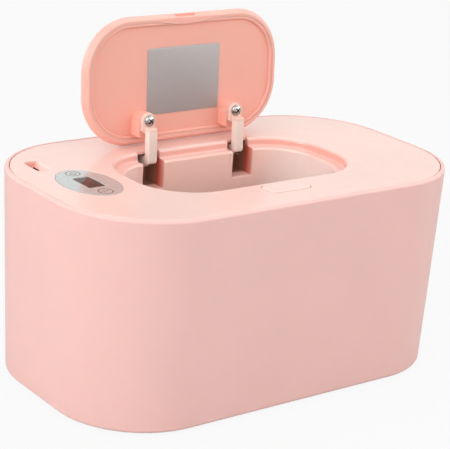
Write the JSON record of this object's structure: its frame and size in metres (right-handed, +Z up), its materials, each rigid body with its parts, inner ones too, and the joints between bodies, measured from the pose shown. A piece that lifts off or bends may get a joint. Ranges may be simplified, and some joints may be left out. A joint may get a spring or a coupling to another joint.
{
  "type": "baby wipe warmer",
  "caption": "Heated box that keeps baby wipes warm, with a lift-off cover, a sprung flip lid, a release button and a small display.",
  "frame": {"origin": "centre of the footprint, on the surface that the feet stand on", "axes": "+X along the long side, +Y to the back, where the lid's hinge is, +Z up"},
  "size_m": [0.2298, 0.137, 0.1769],
  "materials": {
    "shell_pink": "satin moulded",
    "cover_pink": "satin moulded",
    "lid_pink": "satin moulded",
    "liner_salmon": "satin moulded",
    "tank_white": "matte moulded",
    "nylon_white": "natural nylon",
    "black_plastic": "matte moulded",
    "foam": "closed-cell foam",
    "rubber_dark": "matte",
    "silicone": "matte",
    "film_orange": "smooth film",
    "aluminium_plate": "rolled",
    "board_green": "solder mask",
    "window_red": "tinted, polished",
    "panel_silver": "silver printed film",
    "label_silver": "brushed silver film",
    "lead_white": "insulated wire",
    "screw_steel": "zinc plated",
    "spring_steel": "drawn wire",
    "screw_chrome": "polished"
  },
  "bodies": {
    "base": {"outer_shell": "shell_pink", "rubber_feet": "rubber_dark", "inner_tank": "tank_white", "foam_pad": "foam"},
    "cover": {"top_cover": "cover_pink", "cover_tray": "tank_white", "heater_film": "film_orange", "heater_plate": "aluminium_plate", "tray_screws": "screw_steel", "cover_gasket": "silicone", "thermostat": "black_plastic", "temperature_sensor": "black_plastic", "control_board": "board_green", "board_components": "black_plastic", "board_screws": "screw_steel", "display_module": "black_plastic", "display_window": "window_red", "control_panel": "panel_silver", "touch_springs": "spring_steel", "dc_jack": "black_plastic", "power_lead": "lead_white", "heater_lead": "lead_white", "hinge_pins": "screw_steel", "lid_springs": "spring_steel", "latch_spring": "spring_steel", "latch_keeper": "tank_white", "keeper_screws": "screw_steel"},
    "lid": {"lid_shell": "lid_pink", "lid_liner": "liner_salmon", "lid_plate": "label_silver", "hinge_arm_left": "nylon_white", "hinge_arm_right": "nylon_white", "arm_screws": "screw_chrome"},
    "button": {"release_button": "cover_pink"},
    "latch": {"latch_slider": "nylon_white"}
  },
  "joints": [
    {"name": "cover_lift", "type": "slide", "parent": "base", "child": "cover", "axis": [0, 0, 1], "range_m": [0, 0.06]},
    {"name": "lid_hinge", "type": "hinge", "parent": "cover", "child": "lid", "pos_m": [0, 0.04, 0.1024], "axis": [1, 0, 0], "range_deg": [0, 93.3], "stiffness_Nm_per_rad": 0.01, "springref_deg": -22.92, "deforming": ["lid_springs"]},
    {"name": "button_press", "type": "slide", "parent": "cover", "child": "button", "axis": [0, 0, -1], "range_m": [0, 0.001], "stiffness_N_per_m": 600, "springref_m": -0.0015},
    {"name": "latch_slide", "type": "slide", "parent": "cover", "child": "latch", "axis": [0, -1, 0], "range_m": [0, 0.001], "deforming": ["latch_spring"]}
  ],
  "couplings": [
    {"joint": "latch_slide", "follows": "button_press", "ratio": 1}
  ]
}
